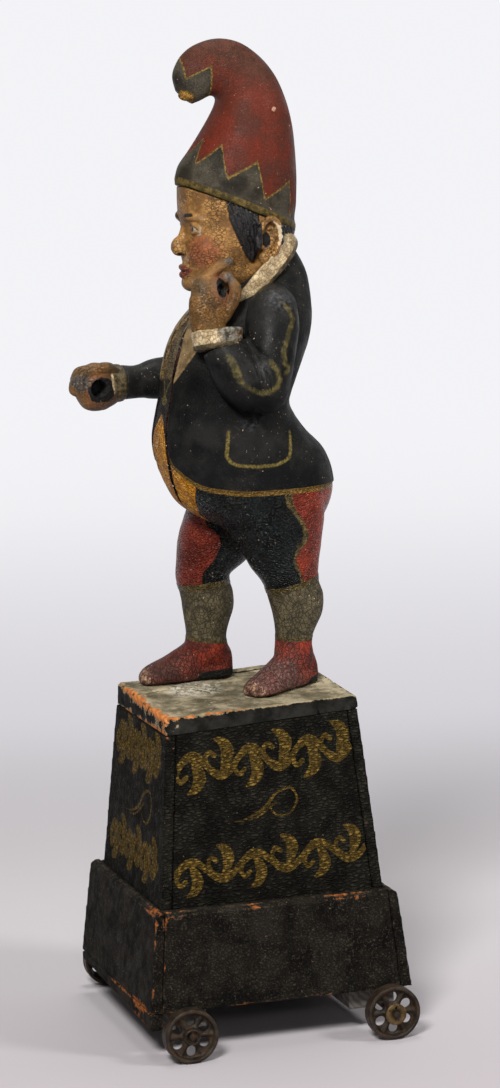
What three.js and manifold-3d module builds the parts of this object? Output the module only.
// A carved pine shop figure of a stout man in a tall curled cap, on a tapered box with four iron wheels.
// Millimetres, +Z up. The figure faces -Y and its left side is +X.
import * as THREE from 'three';
import { mergeVertices } from 'three/addons/utils/BufferGeometryUtils.js';
import Module from 'manifold-3d';

const wasm = await Module();
wasm.setup();

// Clearances
const seam = 0.3; // between glued, nailed or fitted pieces
const runningGap = 0.4; // between a wheel and what it turns on or beside

// Wheels, axles and their fastenings
const wheelRadius = 44.45;
const wheelTread = 24.5;
const wheelSides = 24;
const rimThickness = 7;
const webThickness = 6;
const hubRadius = 13.5;
const hubOverhang = 3.5; // how far the hub stands out past the rim on each side
const hubRecessRadius = 10.5;
const hubRecessDepth = 6;
const spokeCount = 6;
const spokeHoleRadius = 7.6;
const axleRadius = 5.5;
const wheelStandOff = 18.1; // from the foot of the skirt to a rim's inner face
const frontAxleInset = 33.56; // from a bearer's outer edge to its axle's middle
const rearAxleInset = 24.16;
const washerRadius = 17.5;
const washerThickness = 2.2;
const pinRadius = 1.4;
const pinLength = 18;
const pinInset = 3; // from an axle's end to the middle of its split pin
const rearAxleStandOut = 7; // how far the rear axle passes its washer

// Bearers under the box, which hold the axles in grooves
const bearerDrop = 6.25; // how far a bearer reaches below its axle's middle
const bearerTop = 100;
const bearerWidth = 78;
const bearerEndGap = 3.5; // from a bearer's end to the box's outer face

// Tapered box: half sizes of its outer faces at two levels
const boxTopZ = 519.4;
const boxTopHalfX = 148.1;
const boxTopHalfY = 163.8;
const boxLowZ = 237.6;
const boxLowHalfX = 178.6;
const boxLowHalfY = 188.5;
const boxBoard = 18;
const boxTopTilt = 0.0546; // rise of the box's top edge per millimetre towards the rear
const cornerPost = 30;

// Top board, a little out of level
const topBoardThickness = 24.7; // at its middle
const deckTilt = 0.0373;
const deckInsetX = 9; // from the top edge of the box to the edge of the deck
const deckInsetY = 1.5;
const deckEdge = 2.5; // worn edge of the deck

// Skirt round the foot of the box, with its boards' depths from the box, and the strip under its front board
const skirtTopZ = 229.9;
const skirtLowZ = 74.8;
const skirtSideTopDepth = 24.17;
const skirtSideLowDepth = 20.88;
const skirtEndTopDepth = 16.23;
const skirtEndLowDepth = 19.63;
const skirtChamfer = 9;
const stripDepth = 21;
const stripLeftHeight = 28;
const stripRightHeight = 15;

// Figure: where it stands, and the sizes of its main blocks
const figureX = -15;
const figureY = 5;
const figureHeight = 1070; // from the deck to the top of the cap
const torsoHalfWidth = 127;
const headHalfWidth = 76;
const capHalfWidth = 80;
const thighHalfWidth = 57;
const thighGap = 10; // between the tops of the legs
const footLength = 155;
const footHalfWidth = 31;
const toeBlockLength = 64;
const leftFootTurn = 25; // degrees that the foot is turned out
const rightFootTurn = 5;
const rightAnkleX = -78;
const leftAnkleX = 45;
const sleeveRadius = 42;
const cuffRadius = 35;
const cuffLength = 22;
const wristRadius = 24;
const fingerRadius = 9;
const thumbRadius = 9.8;
const fistHole = 30;
const fistHoleDepth = 44;
const cigarHole = 12;
const collarThickness = 12;
const collarWidth = 26;
const collarHalfWidth = 66;
const collarHalfSlope = 96; // half the collar's tilted length, from throat to nape
const earHeight = 58;
const noseLength = 26;

// Dowels and screws inside
const neckDowelRadius = 14;
const capDowelRadius = 12;
const hipDowelRadius = 12;
const armDowelRadius = 10;
const wristDowelRadius = 8;
const toeDowelRadius = 5;
const dowelReach = 32; // how far a dowel enters the block on each side of its joint
const footScrewRadius = 5;
const footScrewLength = 96; // from the top of the top board up into the leg
const footScrewHeadRadius = 10;
const footScrewHeadHeight = 7;

const paint = {
  stand: new THREE.MeshStandardMaterial({ color: 0x1c1c1b, roughness: 0.62, metalness: 0 }),
  skirt: new THREE.MeshStandardMaterial({ color: 0x2a2521, roughness: 0.75, metalness: 0 }),
  deck: new THREE.MeshStandardMaterial({ color: 0x6b6552, roughness: 0.8, metalness: 0 }),
  pine: new THREE.MeshStandardMaterial({ color: 0x9a6f43, roughness: 0.85, metalness: 0 }),
  coat: new THREE.MeshStandardMaterial({ color: 0x272a2c, roughness: 0.55, metalness: 0 }),
  breeches: new THREE.MeshStandardMaterial({ color: 0x5f2b22, roughness: 0.55, metalness: 0 }),
  shoe: new THREE.MeshStandardMaterial({ color: 0x7a2c22, roughness: 0.6, metalness: 0 }),
  flesh: new THREE.MeshStandardMaterial({ color: 0x9c6c42, roughness: 0.5, metalness: 0 }),
  cap: new THREE.MeshStandardMaterial({ color: 0x6d251f, roughness: 0.6, metalness: 0 }),
  iron: new THREE.MeshStandardMaterial({ color: 0x3b3229, roughness: 0.7, metalness: 0.8 }),
  brass: new THREE.MeshStandardMaterial({ color: 0x6f5630, roughness: 0.55, metalness: 0.9 }),
};

// Stand: half sizes of the box at a height, and the sizes that follow from it
const boxHalfX = (z) => THREE.MathUtils.mapLinear(z, boxLowZ, boxTopZ, boxLowHalfX, boxTopHalfX);
const boxHalfY = (z) => THREE.MathUtils.mapLinear(z, boxLowZ, boxTopZ, boxLowHalfY, boxTopHalfY);
const skirtTopHalfX = boxHalfX(skirtTopZ) + skirtSideTopDepth;
const skirtTopHalfY = boxHalfY(skirtTopZ) + skirtEndTopDepth;
const skirtLowHalfX = boxHalfX(skirtLowZ) + skirtSideLowDepth;
const skirtLowHalfY = boxHalfY(skirtLowZ) + skirtEndLowDepth;
const skirtRimZ = skirtTopZ + skirtChamfer * 0.6;
const bearerBottom = wheelRadius - bearerDrop;
const bearerHalfLength = boxHalfX(bearerTop) - bearerEndGap;
const bearerOuterEnd = Math.min(boxHalfY(bearerTop), skirtLowHalfY - stripDepth) - 2 * seam;
const frontAxleY = frontAxleInset - bearerOuterEnd;
const rearAxleY = bearerOuterEnd - rearAxleInset;
const wheelOuterFace = skirtLowHalfX + wheelStandOff + wheelTread;
const deckZ = boxTopZ + topBoardThickness;
const deckHalfX = boxTopHalfX - deckInsetX;
const deckHalfY = boxTopHalfY - deckInsetY;
const boxRimZ = (y) => boxTopZ + boxTopTilt * y;
const deckSurfaceZ = (y) => deckZ + deckTilt * y;

const stand = new THREE.Group();
const figure = new THREE.Group();
figure.position.set(figureX, figureY, deckZ);

// The tables of sections and stations are written for a height of 1070, and carry over to another one.
const carve = figureHeight / 1070;
const place = (...values) => values.map((value) => value * carve);
const placeFirst = (count) => (row) => row.map((value, i) => (i < count ? value * carve : value));
// Arms and hands keep their place beside the torso, so their distance from the middle follows its width.
const beside = ([x, y, z, ...rest]) => [x * (torsoHalfWidth / 127), y * carve, z * carve, ...rest];
const hipHeight = 254 * carve;
const hipSpacing = thighHalfWidth + thighGap / 2;

function addMesh(parent, name, geometry, material) {
  const mesh = new THREE.Mesh(geometry, material);
  mesh.name = name;
  parent.add(mesh);
  return mesh;
}

function signedVolume(points, faces) {
  const cross = new THREE.Vector3();
  let sum = 0;
  for (const [a, b, c] of faces) {
    cross.crossVectors(points[b], points[c]);
    sum += points[a].dot(cross);
  }
  return sum / 6;
}

// A closed geometry of the given points and triangles, with its faces pointing out.
function closedGeometry(points, faces) {
  const outward = signedVolume(points, faces) > 0;
  const index = faces.flatMap(([a, b, c]) => (outward ? [a, b, c] : [a, c, b]));
  const geometry = new THREE.BufferGeometry();
  const flat = new Float32Array(points.flatMap((p) => [p.x, p.y, p.z]));
  geometry.setAttribute('position', new THREE.BufferAttribute(flat, 3));
  geometry.setIndex(index);
  geometry.computeVertexNormals();
  return geometry;
}

// Skin over rings of equally many points, closed at both ends, or all round when looped.
function loft(rings, looped = false) {
  const count = rings[0].length;
  const points = rings.flat();
  const faces = [];
  const spans = looped ? rings.length : rings.length - 1;
  for (let i = 0; i < spans; i += 1) {
    const lower = i * count;
    const upper = ((i + 1) % rings.length) * count;
    for (let j = 0; j < count; j += 1) {
      const k = (j + 1) % count;
      faces.push([lower + j, lower + k, upper + k], [lower + j, upper + k, upper + j]);
    }
  }
  if (!looped) {
    for (const [ring, turn] of [[0, 1], [rings.length - 1, -1]]) {
      const middle = new THREE.Vector3();
      rings[ring].forEach((p) => middle.addScaledVector(p, 1 / count));
      points.push(middle);
      const centre = points.length - 1;
      for (let j = 0; j < count; j += 1) {
        const a = ring * count + j;
        const b = ring * count + ((j + 1) % count);
        faces.push(turn > 0 ? [centre, b, a] : [centre, a, b]);
      }
    }
  }
  return closedGeometry(points, faces);
}

// One rounded section: a superellipse on two half-axis vectors about a centre.
function ringOf(centre, halfA, halfB, count, power = 2) {
  const ring = [];
  for (let j = 0; j < count; j += 1) {
    const t = (2 * Math.PI * j) / count;
    const c = Math.sign(Math.cos(t)) * Math.abs(Math.cos(t)) ** (2 / power);
    const s = Math.sign(Math.sin(t)) * Math.abs(Math.sin(t)) ** (2 / power);
    ring.push(centre.clone().addScaledVector(halfA, c).addScaledVector(halfB, s));
  }
  return ring;
}

// Rings from rows of [front y, front z, back y, back z, share of the half width, centre x].
function profileRings(rows, halfWidth, { count = 24, power = 2.2, grow = 0 } = {}) {
  return rows.map(([frontY, frontZ, backY, backZ, share, x = 0]) => {
    const halfA = new THREE.Vector3(0, (backY - frontY) / 2, (backZ - frontZ) / 2);
    halfA.setLength(halfA.length() + grow);
    const halfB = new THREE.Vector3(halfWidth * share + grow, 0, 0);
    const centre = new THREE.Vector3(x, (frontY + backY) / 2, (frontZ + backZ) / 2);
    return ringOf(centre, halfA, halfB, count, power);
  });
}

// A round limb along stations of [x, y, z, radius], with its sections square to its run.
function limb(stations, { count = 14, flat = 1, grow = 0 } = {}) {
  const centres = stations.map(([x, y, z]) => new THREE.Vector3(x, y, z));
  const last = centres.length - 1;
  const rings = stations.map(([, , , radius], i) => {
    const run = centres[Math.min(i + 1, last)].clone().sub(centres[Math.max(i - 1, 0)]).normalize();
    const across = new THREE.Vector3(1, 0, 0).addScaledVector(run, -run.x).normalize();
    const up = new THREE.Vector3().crossVectors(run, across);
    return ringOf(centres[i], across.multiplyScalar(radius * flat + grow), up.multiplyScalar(radius + grow), count);
  });
  return loft(rings);
}

// A solid with eight corners: four low ones and the four above them, each going round the same way.
function hexahedron(low, high) {
  return loft([low, high].map((corners) => corners.map((p) => new THREE.Vector3(...p))));
}

function cylinderBetween(from, to, radius, sides = 12) {
  const start = new THREE.Vector3(...from);
  const run = new THREE.Vector3(...to).sub(start);
  const geometry = new THREE.CylinderGeometry(radius, radius, run.length(), sides);
  geometry.applyQuaternion(new THREE.Quaternion().setFromUnitVectors(
    new THREE.Vector3(0, 1, 0),
    run.clone().normalize(),
  ));
  const middle = start.addScaledVector(run, 0.5);
  return geometry.translate(middle.x, middle.y, middle.z);
}

function boxBetween(low, high) {
  const size = high.map((value, i) => value - low[i]);
  const geometry = new THREE.BoxGeometry(...size);
  return geometry.translate(...low.map((value, i) => value + size[i] / 2));
}

function solidOf(geometry) {
  const bare = geometry.clone();
  bare.deleteAttribute('normal');
  bare.deleteAttribute('uv');
  const merged = mergeVertices(bare, 1e-4);
  return new wasm.Manifold(new wasm.Mesh({
    numProp: 3,
    vertProperties: new Float32Array(merged.attributes.position.array),
    triVerts: new Uint32Array(merged.index.array),
  }));
}

// The largest body of a solid, as a geometry. Slivers that a cut leaves are dropped.
function geometryOf(solid) {
  const bodies = solid.decompose();
  const main = bodies.reduce((best, body) => (body.volume() > best.volume() ? body : best));
  const mesh = main.getMesh();
  const geometry = new THREE.BufferGeometry();
  geometry.setAttribute('position', new THREE.BufferAttribute(new Float32Array(mesh.vertProperties), 3));
  geometry.setIndex(new THREE.BufferAttribute(new Uint32Array(mesh.triVerts), 1));
  geometry.computeVertexNormals();
  return geometry;
}

function cut(base, ...tools) {
  return tools.reduce((solid, tool) => solid.subtract(tool), base);
}

function join(first, ...others) {
  return others.reduce((solid, other) => solid.add(other), first);
}

const vectorOf = (p) => new THREE.Vector3(...p);
const pointBetween = (a, b, share) => vectorOf(a).lerp(vectorOf(b), share).toArray();

// A dowel across a joint, and the hole that both blocks get for it.
function dowelAcross(joint, direction, reach, radius) {
  const step = vectorOf(direction).setLength(reach);
  const ends = [vectorOf(joint).sub(step).toArray(), vectorOf(joint).add(step).toArray()];
  const spare = vectorOf(direction).setLength(reach + 2);
  const holeEnds = [vectorOf(joint).sub(spare).toArray(), vectorOf(joint).add(spare).toArray()];
  return {
    dowel: cylinderBetween(...ends, radius, 10),
    hole: solidOf(cylinderBetween(...holeEnds, radius + seam, 10)),
  };
}

// Corners of a four-sided slab between two rectangles, with heights that may differ front to rear.
function slabCorners(left, right, front, rear, heightAt) {
  return [[left, front], [right, front], [right, rear], [left, rear]].map(([x, y]) => [x, y, heightAt(y)]);
}

function buildTopBoard(holes) {
  const underHalfX = boxTopHalfX - 0.4;
  const underHalfY = boxTopHalfY - 0.4;
  const rings = [
    slabCorners(-underHalfX, underHalfX, -underHalfY, underHalfY, (y) => boxRimZ(y) + seam),
    slabCorners(-deckHalfX - deckEdge / 2, deckHalfX + deckEdge / 2, -deckHalfY - deckEdge / 2,
      deckHalfY + deckEdge / 2, (y) => deckSurfaceZ(y) - deckEdge),
    slabCorners(-deckHalfX + deckEdge, deckHalfX - deckEdge, -deckHalfY + deckEdge, deckHalfY - deckEdge,
      deckSurfaceZ),
  ];
  const board = loft(rings.map((ring) => ring.map((p) => new THREE.Vector3(...p))));
  addMesh(stand, 'top_board', geometryOf(cut(solidOf(board), ...holes)), paint.deck);
}

function buildBox() {
  const levels = [bearerTop + seam, boxRimZ];
  const heightAt = (level, y) => (typeof level === 'function' ? level(y) : level);
  for (const [name, side] of [['box_front_board', -1], ['box_rear_board', 1]]) {
    const quads = levels.map((level) => [[-1, 0], [1, 0], [1, 1], [-1, 1]].map(([across, inner]) => {
      const z = heightAt(level, side * boxTopHalfY);
      const y = side * (boxHalfY(z) - inner * boxBoard);
      return [across * boxHalfX(z), y, heightAt(level, y)];
    }));
    addMesh(stand, name, hexahedron(...quads), paint.stand);
  }
  for (const [name, side] of [['box_left_board', 1], ['box_right_board', -1]]) {
    const quads = levels.map((level) => [[-1, 0], [1, 0], [1, 1], [-1, 1]].map(([end, inner]) => {
      const z = heightAt(level, end * boxTopHalfY);
      const y = end * (boxHalfY(z) - boxBoard - seam);
      return [side * (boxHalfX(z) - inner * boxBoard), y, heightAt(level, y)];
    }));
    addMesh(stand, name, hexahedron(...quads), paint.stand);
  }
}

function buildCornerPosts() {
  const postName = (sideX, sideY) => `${sideY < 0 ? 'front' : 'rear'}_${sideX > 0 ? 'left' : 'right'}_corner_post`;
  for (const sideX of [-1, 1]) {
    for (const sideY of [-1, 1]) {
      const quads = [bearerTop + seam, null].map((level) => {
        const z = level ?? boxRimZ(sideY * boxTopHalfY);
        const outerX = boxHalfX(z) - boxBoard - seam;
        const outerY = boxHalfY(z) - boxBoard - 2 * seam;
        return [[0, 0], [1, 0], [1, 1], [0, 1]].map(([inX, inY]) => {
          const x = sideX * (outerX - inX * cornerPost);
          const y = sideY * (outerY - inY * cornerPost);
          return [x, y, level ?? boxRimZ(y) - seam];
        });
      });
      addMesh(stand, postName(sideX, sideY), hexahedron(...quads), paint.pine);
    }
  }
}

// A skirt board: its inner face lies on the box, its outer face follows the skirt, its top edge is chamfered.
function skirtSection(halfAtBox, topHalf, lowHalf) {
  return [
    [halfAtBox(skirtLowZ) + seam, skirtLowZ],
    [lowHalf, skirtLowZ],
    [topHalf, skirtTopZ],
    [topHalf - skirtChamfer, skirtRimZ],
    [halfAtBox(skirtRimZ) + seam, skirtRimZ],
  ];
}

function buildSkirt() {
  const sectionY = skirtSection(boxHalfY, skirtTopHalfY, skirtLowHalfY);
  const sectionX = skirtSection(boxHalfX, skirtTopHalfX, skirtLowHalfX);
  const outerX = (z) => THREE.MathUtils.mapLinear(z, skirtLowZ, skirtTopZ, skirtLowHalfX, skirtTopHalfX);
  for (const [name, side] of [['skirt_front_board', -1], ['skirt_rear_board', 1]]) {
    const ends = [-1, 1].map((end) => sectionY.map(([y, z]) => new THREE.Vector3(end * outerX(z), side * y, z)));
    addMesh(stand, name, loft(ends), paint.skirt);
  }
  for (const [name, side] of [['skirt_left_board', 1], ['skirt_right_board', -1]]) {
    const ends = [-1, 1].map((end) => sectionX.map(([x, z]) => (
      new THREE.Vector3(side * x, end * boxHalfY(z), z))));
    addMesh(stand, name, loft(ends), paint.skirt);
  }
}

function buildStrip() {
  const y = [-skirtLowHalfY, -skirtLowHalfY + stripDepth];
  const low = (x) => skirtLowZ - (x > 0 ? stripLeftHeight : stripRightHeight);
  const corners = [[-1, 0], [1, 0], [1, 1], [-1, 1]].map(([end, inner]) => [end * (skirtLowHalfX - 3), y[inner]]);
  const under = corners.map(([x, depth]) => [x, depth, low(x)]);
  const over = corners.map(([x, depth]) => [x, depth, skirtLowZ]);
  addMesh(stand, 'front_strip', hexahedron(under, over), paint.skirt);
}

// A bearer butts on the inner faces of the skirt and carries the box, with a groove for the axle below.
function buildBearers() {
  for (const [name, side, axleY] of [['front_bearer', -1, frontAxleY], ['rear_bearer', 1, rearAxleY]]) {
    const edges = [side * bearerOuterEnd, side * (bearerOuterEnd - bearerWidth)].sort((a, b) => a - b);
    const block = boxBetween([-bearerHalfLength, edges[0], bearerBottom], [bearerHalfLength, edges[1], bearerTop]);
    const grooveHalf = axleRadius + seam;
    const groove = boxBetween(
      [-bearerHalfLength - 5, axleY - grooveHalf, bearerBottom - 5],
      [bearerHalfLength + 5, axleY + grooveHalf, wheelRadius + grooveHalf],
    );
    addMesh(stand, name, geometryOf(cut(solidOf(block), solidOf(groove))), paint.pine);
  }
}

const hubOuterFace = wheelOuterFace + hubOverhang;
const washerX = hubOuterFace + runningGap;
const rearAxleEnd = washerX + washerThickness + rearAxleStandOut;
const frontAxleEnd = hubOuterFace;

function buildAxles() {
  for (const [name, y, end] of [['front_axle', frontAxleY, frontAxleEnd], ['rear_axle', rearAxleY, rearAxleEnd]]) {
    const rod = solidOf(cylinderBetween([-end, y, wheelRadius], [end, y, wheelRadius], axleRadius, 16));
    const holes = [-1, 1].map((side) => {
      const x = side * (end - pinInset);
      const reach = axleRadius + 2;
      return solidOf(cylinderBetween(
        [x, y, wheelRadius - reach], [x, y, wheelRadius + reach], pinRadius + seam, 8,
      ));
    });
    addMesh(stand, name, geometryOf(cut(rod, ...holes)), paint.iron);
    for (const side of [-1, 1]) {
      const x = side * (end - pinInset);
      const pin = cylinderBetween(
        [x, y, wheelRadius - pinLength / 2], [x, y, wheelRadius + pinLength / 2], pinRadius, 8,
      );
      const place = `${y < 0 ? 'front' : 'rear'}_${side > 0 ? 'left' : 'right'}`;
      addMesh(stand, `${place}_split_pin`, pin, paint.iron);
    }
  }
}

function buildWashers() {
  for (const [name, side] of [['rear_left_washer', 1], ['rear_right_washer', -1]]) {
    const inner = axleRadius + seam;
    const profile = [
      [inner, 0], [washerRadius, 0], [washerRadius, washerThickness], [inner, washerThickness], [inner, 0],
    ].map(([r, along]) => new THREE.Vector2(r, along));
    const washer = new THREE.LatheGeometry(profile, 24);
    washer.rotateZ(-side * Math.PI / 2);
    washer.translate(side * washerX, rearAxleY, wheelRadius);
    addMesh(stand, name, geometryOf(solidOf(outwardGeometry(washer))), paint.brass);
  }
}

// A copy of a closed geometry with shared vertices and its faces pointing out.
function outwardGeometry(geometry) {
  const bare = geometry.clone();
  bare.deleteAttribute('normal');
  bare.deleteAttribute('uv');
  const merged = mergeVertices(bare, 1e-4);
  const position = merged.attributes.position;
  const points = Array.from({ length: position.count }, (_, i) => new THREE.Vector3().fromBufferAttribute(position, i));
  const order = Array.from(merged.index.array);
  const faces = [];
  for (let i = 0; i < order.length; i += 3) {
    const face = order.slice(i, i + 3);
    if (new Set(face).size === 3) faces.push(face);
  }
  return closedGeometry(points, faces);
}

// A cast wheel: deep rim, thin web with round openings between the spokes, long hub with a recess outside.
function wheelGeometry() {
  const rimOuter = wheelRadius / Math.cos(Math.PI / wheelSides);
  const rimInner = wheelRadius - rimThickness;
  const bore = axleRadius + runningGap;
  const webLow = (wheelTread - webThickness) / 2;
  const webHigh = webLow + webThickness;
  const hubLow = -hubOverhang;
  const hubHigh = wheelTread + hubOverhang;
  const profile = [
    [bore, hubLow], [hubRadius, hubLow], [hubRadius, webLow], [rimInner - 1, webLow], [rimInner, 0],
    [rimOuter, 0], [rimOuter, wheelTread], [rimInner, wheelTread], [rimInner - 1, webHigh],
    [hubRadius, webHigh], [hubRadius, hubHigh], [hubRecessRadius, hubHigh],
    [hubRecessRadius, hubHigh - hubRecessDepth], [bore, hubHigh - hubRecessDepth], [bore, hubLow],
  ].map(([r, along]) => new THREE.Vector2(r, along));
  const casting = solidOf(outwardGeometry(new THREE.LatheGeometry(profile, wheelSides, Math.PI / wheelSides)));
  const holeRing = (hubRadius + rimInner) / 2;
  const openings = Array.from({ length: spokeCount }, (_, i) => {
    const angle = (2 * Math.PI * (i + 0.5)) / spokeCount;
    const x = holeRing * Math.cos(angle);
    const z = holeRing * Math.sin(angle);
    return solidOf(cylinderBetween([x, webLow - 2, z], [x, webHigh + 2, z], spokeHoleRadius, 12));
  });
  return geometryOf(cut(casting, ...openings));
}

function buildWheels() {
  const casting = wheelGeometry();
  for (const [place, y] of [['front', frontAxleY], ['rear', rearAxleY]]) {
    for (const [hand, side] of [['left', 1], ['right', -1]]) {
      const wheel = addMesh(stand, `${place}_${hand}_wheel`, casting.clone(), paint.iron);
      wheel.rotation.z = -side * Math.PI / 2;
      wheel.position.set(side * (wheelOuterFace - wheelTread), y, wheelRadius);
    }
  }
}

// Figure sections, above the deck and from the figure's own middle
const torsoRows = [
  [-12, 254, 118, 254, 0.79],
  [-22, 276, 134, 284, 0.85],
  [-42, 288, 152, 304, 0.89],
  [-75, 308, 172, 320, 0.92],
  [-90, 323, 175, 334, 0.945],
  [-104, 349, 172, 352, 0.975],
  [-114, 374, 165, 376, 0.99],
  [-119, 400, 150, 402, 1],
  [-121, 427, 128, 428, 0.99],
  [-119, 455, 109, 456, 0.97],
  [-112, 493, 99, 480, 0.945],
  [-106, 530, 110, 512, 0.935],
  [-98, 565, 124, 550, 0.935],
  [-80, 602, 137, 590, 0.915],
  [-56, 628, 143, 630, 0.835],
  [-34, 644, 140, 670, 0.685],
  [-16, 656, 128, 706, 0.52],
  [-6, 660, 112, 736, 0.425],
].map(placeFirst(4));
const headRows = [
  [-6, 660, 110, 736, 0.66],
  [-18, 667, 110, 738, 0.7],
  [-56, 672, 111, 741, 0.72],
  [-64, 700, 112, 744, 0.84],
  [-67, 726, 113, 746, 0.91],
  [-66, 754, 114, 748, 0.96],
  [-71, 784, 115, 750, 0.985],
  [-72, 811, 116, 752.5, 1],
].map(placeFirst(4));
const capRows = [
  [-77, 839, 121, 755, 1],
  [-77, 850, 122, 766, 1],
  [-72, 853, 121, 770, 0.96],
  [-67, 866, 124, 800, 0.96],
  [-52, 891, 126, 839, 0.95],
  [-34, 917, 124, 888, 0.9],
  [-18, 941, 120, 932, 0.825],
  [-7, 962, 110, 972, 0.725],
  [-5, 972, 92, 1012, 0.625],
  [-9, 977, 66, 1043, 0.54],
  [-16, 978.5, 34, 1064, 0.49],
  [-23, 976, 2, 1070, 0.45],
  [-30, 972.5, -24, 1064, 0.41],
  [-36, 970, -46, 1052, 0.36],
  [-42, 968, -62, 1034, 0.31],
  [-46, 967, -71, 1010, 0.235],
  [-50, 969, -68, 992, 0.13],
].map(placeFirst(4));
const capTipStart = 11; // the row where the curl's own block is glued on
const [brimFrontY, brimFrontZ, brimBackY, brimBackZ] = capRows[0];
const brimZ = (y) => THREE.MathUtils.mapLinear(y, brimFrontY, brimBackY, brimFrontZ, brimBackZ);
const headTop = place(-72, 117).flatMap((y) => [y, brimZ(y) - 1.1 * seam]);
headRows.push([...headTop, 0.985]);

// Leg sections above the ankle: front, height, back, share of the half width, share of the way to the ankle
const hipRow = 2; // the row at the joint of legs and torso
const ankleRow = 8;
const rightLegRows = [
  [-40, 336, 74, 0.98, 0], [-56, 296, 70, 1, 0], [-70, 254, 60, 0.98, 0.05], [-74, 211, 44, 0.9, 0.3],
  [-76, 184, 14, 0.75, 0.45], [-69, 156, 21, 0.7, 0.6], [-64, 130, 22, 0.7, 0.75], [-60, 104, 14, 0.62, 0.9],
  [-58, 84, 9, 0.57, 1], [-60, 58, 10, 0.57, 1], [-58, 40, 9, 0.5, 1],
].map(placeFirst(3));
const leftLegRows = [
  [20, 336, 134, 0.98, 0], [8, 300, 134, 1, 0], [0, 254, 128, 0.98, 0.05], [14, 215, 126, 0.9, 0.3],
  [34, 188, 129, 0.75, 0.45], [46, 160, 138, 0.7, 0.6], [54, 132, 136, 0.7, 0.75], [58, 104, 124, 0.62, 0.9],
  [60, 84, 118, 0.57, 1], [58, 60, 120, 0.57, 1], [60, 42, 118, 0.5, 1],
].map(placeFirst(3));
const rightHeel = [rightAnkleX, 16 * carve];
const leftHeel = [leftAnkleX - 20 * carve, 128 * carve];

// Foot sections from heel to toe: share of the length, share of the half width, height of the upper
const footRows = [
  [0, 0.6, 42], [0.05, 0.78, 58], [0.2, 0.87, 74], [0.4, 0.88, 68], [0.58, 0.95, 52], [0.75, 1, 38],
  [0.88, 0.92, 29], [0.96, 0.7, 22], [1, 0.42, 15],
].map(([along, width, height]) => [along, width, height * carve]);
const instepShare = 1 - toeBlockLength / footLength;

function footFrame(heel, turn) {
  const angle = THREE.MathUtils.degToRad(turn);
  const ahead = new THREE.Vector3(Math.sin(angle), -Math.cos(angle), 0);
  const aside = new THREE.Vector3(Math.cos(angle), Math.sin(angle), 0);
  const at = (share, side, z) => new THREE.Vector3(heel[0], heel[1], z)
    .addScaledVector(ahead, share * footLength)
    .addScaledVector(aside, side);
  return { ahead, at };
}

// A foot with a flat sole on the sloping deck and a rounded upper, between two shares of its length.
function footGeometry(heel, turn, from, to) {
  const { at } = footFrame(heel, turn);
  const blend = (share) => {
    const next = footRows.findIndex(([s]) => s >= share - 1e-9);
    if (next <= 0) return footRows[0];
    const [low, high] = [footRows[next - 1], footRows[next]];
    const t = (share - low[0]) / (high[0] - low[0]);
    return low.map((value, i) => THREE.MathUtils.lerp(value, high[i], t));
  };
  const shares = [from, ...footRows.map(([s]) => s).filter((s) => s > from + 1e-6 && s < to - 1e-6), to];
  const outline = [[-0.82, 0], [-1, 0.22], [-0.97, 0.55], [-0.72, 0.85], [-0.3, 1], [0.3, 1], [0.72, 0.85],
    [0.97, 0.55], [1, 0.22], [0.82, 0]];
  return loft(shares.map((share) => {
    const [, width, height] = blend(share);
    return outline.map(([across, up]) => {
      const p = at(share, across * width * footHalfWidth, 0);
      p.z = deckTilt * (p.y + figureY) + seam + up * height;
      return p;
    });
  }));
}

function legRings(rows, hipX, ankleX, { grow = 0 } = {}) {
  const asProfile = rows.map(([front, z, back, share, down]) => (
    [front, z, back, z, share, THREE.MathUtils.lerp(hipX, ankleX, down)]));
  return loft(profileRings(asProfile, thighHalfWidth, { count: 18, power: 2.1, grow }));
}

const farAway = 2 * figureHeight;
const aboveHip = solidOf(boxBetween([-farAway, -farAway, hipHeight - seam / 2], [farAway, farAway, farAway]));
const belowHip = solidOf(boxBetween([-farAway, -farAway, -farAway], [farAway, farAway, hipHeight + seam / 2]));
const headSolid = solidOf(loft(profileRings(headRows, headHalfWidth, { grow: seam })));
const capGrown = solidOf(loft(profileRings(capRows.slice(0, 8), capHalfWidth, { grow: seam })));

const legs = [
  { hand: 'right', side: -1, rows: rightLegRows, ankleX: rightAnkleX, heel: rightHeel, turn: -rightFootTurn },
  { hand: 'left', side: 1, rows: leftLegRows, ankleX: leftAnkleX, heel: leftHeel, turn: leftFootTurn },
];
for (const leg of legs) {
  leg.solid = solidOf(legRings(leg.rows, leg.side * hipSpacing, leg.ankleX));
  const hip = leg.rows[hipRow];
  leg.hipDowel = dowelAcross(
    [leg.side * hipSpacing, (hip[0] + hip[2]) / 2, hipHeight], [0, 0, 1], dowelReach, hipDowelRadius,
  );
  const ankle = leg.rows[ankleRow];
  leg.ankle = [leg.ankleX, (ankle[0] + ankle[2]) / 2];
}

// Lag screws come up through the top board into each ankle.
function footScrew(ankle) {
  const y = ankle[1] + figureY;
  const underside = boxRimZ(y) + seam - deckZ - boxTopTilt * footScrewHeadRadius;
  const headTop = underside - seam;
  const shank = solidOf(cylinderBetween(
    [ankle[0], ankle[1], headTop - 1], [ankle[0], ankle[1], footScrewLength], footScrewRadius, 12,
  ));
  const head = solidOf(cylinderBetween(
    [ankle[0], ankle[1], headTop - footScrewHeadHeight], [ankle[0], ankle[1], headTop], footScrewHeadRadius, 6,
  ));
  const hole = cylinderBetween(
    [ankle[0], ankle[1], -60], [ankle[0], ankle[1], footScrewLength + 2], footScrewRadius + seam, 12,
  );
  return { screw: join(shank, head), hole };
}

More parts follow.
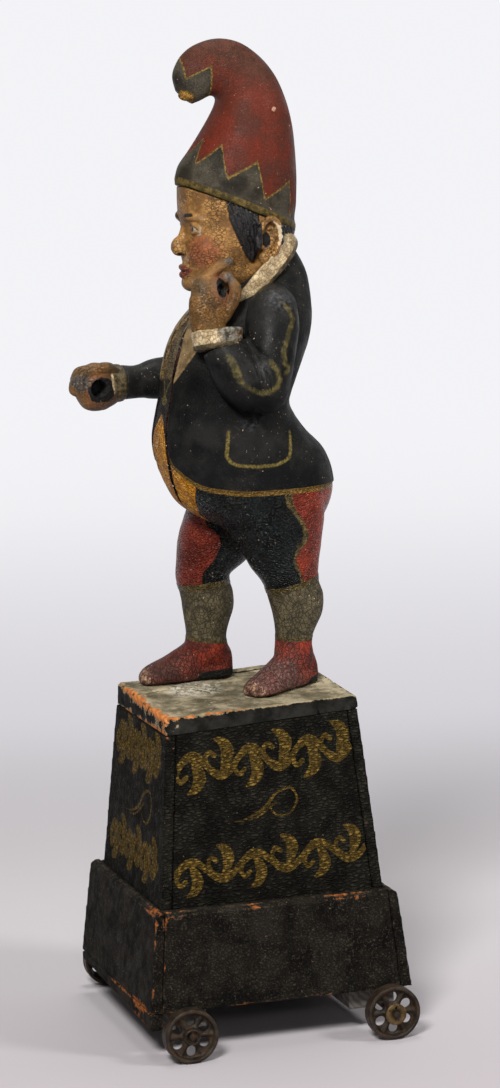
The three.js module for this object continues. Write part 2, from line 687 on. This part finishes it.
function buildLegs() {
  const boardHoles = [];
  for (const leg of legs) {
    const { screw, hole } = footScrew(leg.ankle);
    const { ahead, at } = footFrame(leg.heel, leg.turn);
    const jointAt = at(instepShare, 0, deckTilt * figureY + 20 * carve);
    const toe = dowelAcross(jointAt.toArray(), ahead.toArray(), dowelReach * 0.6, toeDowelRadius);
    const gapShare = seam / footLength;
    const foot = solidOf(footGeometry(leg.heel, leg.turn, 0, instepShare));
    const toeBlock = solidOf(footGeometry(leg.heel, leg.turn, instepShare + gapShare, 1));
    const block = cut(join(leg.solid, foot), aboveHip, leg.hipDowel.hole, toe.hole, solidOf(hole));
    addMesh(figure, `${leg.hand}_leg`, geometryOf(block), paint.breeches);
    addMesh(figure, `${leg.hand}_toe_block`, geometryOf(cut(toeBlock, toe.hole)), paint.shoe);
    addMesh(figure, `${leg.hand}_toe_dowel`, toe.dowel, paint.pine);
    addMesh(figure, `${leg.hand}_hip_dowel`, leg.hipDowel.dowel, paint.pine);
    addMesh(figure, `${leg.hand}_foot_screw`, geometryOf(screw), paint.iron);
    boardHoles.push(solidOf(hole.clone().translate(figureX, figureY, deckZ)));
  }
  buildTopBoard(boardHoles);
}

// Arms, as stations of [x, y, z, share of the sleeve radius], and where each shoulder's dowel goes
const arms = [
  {
    hand: 'left',
    upper: [[76, 54, 676, 0.45], [94, 51, 656, 0.9], [112, 46, 625, 1.02], [127, 37, 582, 1], [137, 27, 542, 0.97],
      [141, 18, 505, 0.95], [141, 14, 481, 0.78], [141, 13, 466, 0.38]].map(beside),
    fore: [[141, 14, 498, 0.8], [137, -6, 528, 0.93], [129, -27, 558, 0.92],
      [120, -44, 586, 0.82]].map(beside),
    shoulder: [beside([96, 48, 634]), [1, 0, 0]],
    cuffShare: 1,
  },
  {
    hand: 'right',
    upper: [[-76, 54, 676, 0.45], [-94, 51, 656, 0.9], [-113, 46, 622, 1.02], [-130, 38, 580, 1], [-137, 24, 545, 0.97],
      [-138, 10, 520, 0.9], [-138, 2, 500, 0.66]].map(beside),
    fore: [[-138, 6, 520, 0.84], [-131, -40, 515, 0.84], [-123, -85, 513, 0.79], [-114, -125, 511, 0.66],
      [-110, -150, 511, 0.7]].map(beside),
    shoulder: [beside([-96, 48, 634]), [-1, 0, 0]],
    cuffShare: 0.86,
  },
];
const sleeve = (rows, grow = 0) => limb(rows.map(([x, y, z, share]) => [x, y, z, share * sleeveRadius]), { grow });
const torsoGrown = solidOf(loft(profileRings(torsoRows, torsoHalfWidth, { count: 28, power: 2.3, grow: seam })));

for (const arm of arms) {
  arm.shoulderDowel = dowelAcross(...arm.shoulder, dowelReach * 0.8, armDowelRadius);
  const elbow = arm.fore[0].slice(0, 3);
  const firstRun = vectorOf(arm.fore[1].slice(0, 3)).sub(vectorOf(elbow));
  const elbowJoint = pointBetween(elbow, arm.fore[1].slice(0, 3), 0.7);
  arm.elbowDowel = dowelAcross(elbowJoint, firstRun.toArray(), dowelReach * 0.7, armDowelRadius);
  const wrist = arm.fore[arm.fore.length - 1].slice(0, 3);
  arm.wristRun = vectorOf(wrist).sub(vectorOf(arm.fore[arm.fore.length - 2].slice(0, 3))).normalize();
  arm.wristDowel = dowelAcross(wrist, arm.wristRun.toArray(), dowelReach * 0.6, wristDowelRadius);
}

function buildArms() {
  for (const arm of arms) {
    const upper = cut(solidOf(sleeve(arm.upper)), torsoGrown, arm.shoulderDowel.hole, arm.elbowDowel.hole);
    const fore = cut(
      solidOf(sleeve(arm.fore)), solidOf(sleeve(arm.upper, seam)), torsoGrown,
      arm.elbowDowel.hole, arm.wristDowel.hole,
    );
    addMesh(figure, `${arm.hand}_upper_arm`, geometryOf(upper), paint.coat);
    addMesh(figure, `${arm.hand}_forearm`, geometryOf(fore), paint.coat);
    addMesh(figure, `${arm.hand}_shoulder_dowel`, arm.shoulderDowel.dowel, paint.pine);
    addMesh(figure, `${arm.hand}_elbow_dowel`, arm.elbowDowel.dowel, paint.pine);
    addMesh(figure, `${arm.hand}_wrist_dowel`, arm.wristDowel.dowel, paint.pine);
  }
}

// A cuff carries on from the sleeve's end: [distance past the joint, share of the cuff radius].
function cuffSolid(arm) {
  const wrist = vectorOf(arm.fore[arm.fore.length - 1].slice(0, 3));
  const steps = [[seam, 0.86], [0.27 * cuffLength, 1], [0.91 * cuffLength, 1.02], [cuffLength, 0.86]];
  return solidOf(limb(steps.map(([along, share]) => (
    [...wrist.clone().addScaledVector(arm.wristRun, along).toArray(), share * cuffRadius * arm.cuffShare]))));
}

// A finger or a palm along points, with a radius at each of them.
const fingerShares = [0.8, 1, 1, 0.95, 0.5];
const finger = (points, radius) => solidOf(limb(
  points.map((p, i) => [...beside(p), radius * fingerShares[i]]),
  { count: 8 },
));
const palm = (rows, flat) => solidOf(limb(
  rows.map(([x, y, z, share]) => [...beside([x, y, z]), share * wristRadius]),
  { flat },
));

function buildLeftHand() {
  const [left] = arms;
  const back = palm([
    [113, -55, 600, 1], [110, -52, 622, 1.2], [107, -48, 645, 1.5], [105, -46, 668, 1.5], [104, -42, 682, 1.1],
  ], 0.62);
  const index = finger(
    [[102, -66, 664], [100, -58, 690], [99, -42, 702], [98, -24, 709], [97, -12, 713]], fingerRadius,
  );
  const middle = finger(
    [[105, -78, 656], [103, -76, 680], [100, -62, 690], [99, -46, 690], [99, -36, 686]], fingerRadius,
  );
  const thumb = finger(
    [[110, -22, 638], [112, -12, 656], [110, -8, 672], [106, -10, 686], [102, -14, 696]], thumbRadius,
  );
  const hole = solidOf(cylinderBetween(beside([60, -27, 676]), beside([150, -27, 676]), cigarHole / 2, 12));
  const whole = join(cuffSolid(left), back, index, middle, thumb);
  const hand = cut(whole, hole, left.wristDowel.hole, headSolid, torsoGrown, collarSolid(seam));
  addMesh(figure, 'left_hand', geometryOf(hand), paint.flesh);
}

function buildRightHand() {
  const right = arms[1];
  const fist = palm([
    [-109, -158, 510, 1], [-108, -172, 508, 1.35], [-106, -190, 507, 1.6], [-105, -210, 507, 1.62],
    [-104, -228, 508, 1.3], [-104, -239, 509, 0.7],
  ], 0.8);
  const thumb = finger(
    [[-92, -170, 532], [-86, -186, 539], [-84, -202, 538], [-86, -216, 532], [-90, -226, 524]], thumbRadius,
  );
  const [mouthX, socketY, socketZ] = beside([-78, -194, 504]);
  const hole = solidOf(cylinderBetween(
    [mouthX + fistHole, socketY, socketZ], [mouthX - fistHoleDepth, socketY, socketZ], fistHole / 2, 16,
  ));
  const hand = cut(join(cuffSolid(right), fist, thumb), hole, right.wristDowel.hole);
  addMesh(figure, 'right_hand', geometryOf(hand), paint.flesh);
}

// The standing collar is a band on a tilted ellipse round the neck, carved with the torso.
function collarSolid(grow = 0) {
  const middle = new THREE.Vector3(...place(0, 42, 682));
  const slope = new THREE.Vector3(0, 0.686, 0.728);
  const outward = new THREE.Vector3(0, -0.728, 0.686);
  const across = new THREE.Vector3(1, 0, 0);
  const rings = Array.from({ length: 28 }, (_, i) => {
    const t = (2 * Math.PI * i) / 28;
    const radial = across.clone().multiplyScalar(Math.cos(t)).addScaledVector(slope, Math.sin(t));
    const centre = middle.clone()
      .addScaledVector(across, collarHalfWidth * Math.cos(t))
      .addScaledVector(slope, collarHalfSlope * Math.sin(t));
    return [[-1, -1], [1, -1], [1, 1], [-1, 1]].map(([a, b]) => centre.clone()
      .addScaledVector(radial, a * (collarThickness / 2 + grow))
      .addScaledVector(outward, b * (collarWidth / 2 + grow)));
  });
  return solidOf(loft(rings, true));
}

const neckDowel = dowelAcross(place(0, 52, 697), [0, 0, 1], dowelReach, neckDowelRadius);
const capDowel = dowelAcross(place(0, 25, 795), [0, 0, 1], dowelReach, capDowelRadius);

function buildTorso() {
  const log = solidOf(loft(profileRings(torsoRows, torsoHalfWidth, { count: 28, power: 2.3 })));
  const hips = legs.map((leg) => cut(leg.solid, belowHip));
  const holes = [...legs.map((leg) => leg.hipDowel.hole), ...arms.map((arm) => arm.shoulderDowel.hole), neckDowel.hole];
  const elbows = arms.flatMap((arm) => [solidOf(sleeve(arm.upper, seam)), solidOf(sleeve(arm.fore, seam))]);
  const collar = cut(collarSolid(), ...elbows);
  const torso = cut(join(cut(log, belowHip), ...hips, collar), headSolid, capGrown, ...holes);
  addMesh(figure, 'torso_block', geometryOf(torso), paint.coat);
}

// Nose: [y at its root, share of the nose's length further out, z, share of the length as its radius]
const noseRows = [[-60, 0, 786, 0.23], [-72, 0, 766, 0.35], [-66, 0.75, 744, 0.5], [-66, 0.6, 732, 0.42],
  [-58, 0, 722, 0.27]];
// Ear: [share of the head's half width, y, share of the ear's height above its middle, share of it as the radius]
const earRows = [[0.87, 54, -0.5, 0.14], [0.97, 50, -0.25, 0.19], [1.03, 54, 0.2, 0.29], [1, 58, 0.417, 0.21],
  [0.95, 60, 0.476, 0.09]];
const earMiddle = 741 * carve;

function buildHead() {
  const rows = headRows.map(([frontY, frontZ, backY, backZ, share], i) => {
    const lift = i === 0 ? seam : 0;
    return [frontY, frontZ + lift, backY, backZ + lift, share];
  });
  const skull = solidOf(loft(profileRings(rows, headHalfWidth)));
  const nose = solidOf(limb(noseRows.map(([y, out, z, share]) => (
    [0, y * carve - out * noseLength, z * carve, share * noseLength])), { count: 10 }));
  const ears = [-1, 1].map((side) => {
    const stations = earRows.map(([out, y, up, share]) => (
      [side * out * headHalfWidth, y * carve, earMiddle + up * earHeight, share * earHeight]));
    return cut(solidOf(limb(stations, { count: 10, flat: 0.55 })), collarSolid(seam), torsoGrown);
  });
  const head = cut(join(skull, nose, ...ears), neckDowel.hole, capDowel.hole);
  addMesh(figure, 'head_block', geometryOf(head), paint.flesh);
  addMesh(figure, 'neck_dowel', neckDowel.dowel, paint.pine);
}

function buildCap() {
  const rings = profileRings(capRows, capHalfWidth, { power: 2 });
  const cap = cut(solidOf(loft(rings.slice(0, capTipStart + 1))), capDowel.hole);
  const jointMiddle = (i) => new THREE.Vector3(
    0, (capRows[i][0] + capRows[i][2]) / 2, (capRows[i][1] + capRows[i][3]) / 2,
  );
  const run = jointMiddle(capTipStart + 1).sub(jointMiddle(capTipStart - 1)).normalize();
  const tipDowel = dowelAcross(jointMiddle(capTipStart).toArray(), run.toArray(), dowelReach * 0.6, wristDowelRadius);
  const firstRing = rings[capTipStart].map((p) => p.clone().addScaledVector(run, seam));
  const tip = solidOf(loft([firstRing, ...rings.slice(capTipStart + 1)]));
  addMesh(figure, 'cap_block', geometryOf(cut(cap, tipDowel.hole)), paint.cap);
  addMesh(figure, 'cap_curl_block', geometryOf(cut(tip, tipDowel.hole)), paint.cap);
  addMesh(figure, 'cap_dowel', capDowel.dowel, paint.pine);
  addMesh(figure, 'cap_curl_dowel', tipDowel.dowel, paint.pine);
}

buildBox();
buildCornerPosts();
buildSkirt();
buildStrip();
buildBearers();
buildAxles();
buildWashers();
buildWheels();
buildLegs();
buildArms();
buildLeftHand();
buildRightHand();
buildTorso();
buildHead();
buildCap();

// The origin lies on the floor, under the middle of the whole object.
const part = new THREE.Group();
part.add(stand, figure);
part.updateMatrixWorld(true);
const extent = new THREE.Box3().setFromObject(part);
part.position.y = -(extent.min.y + extent.max.y) / 2;

export default part;
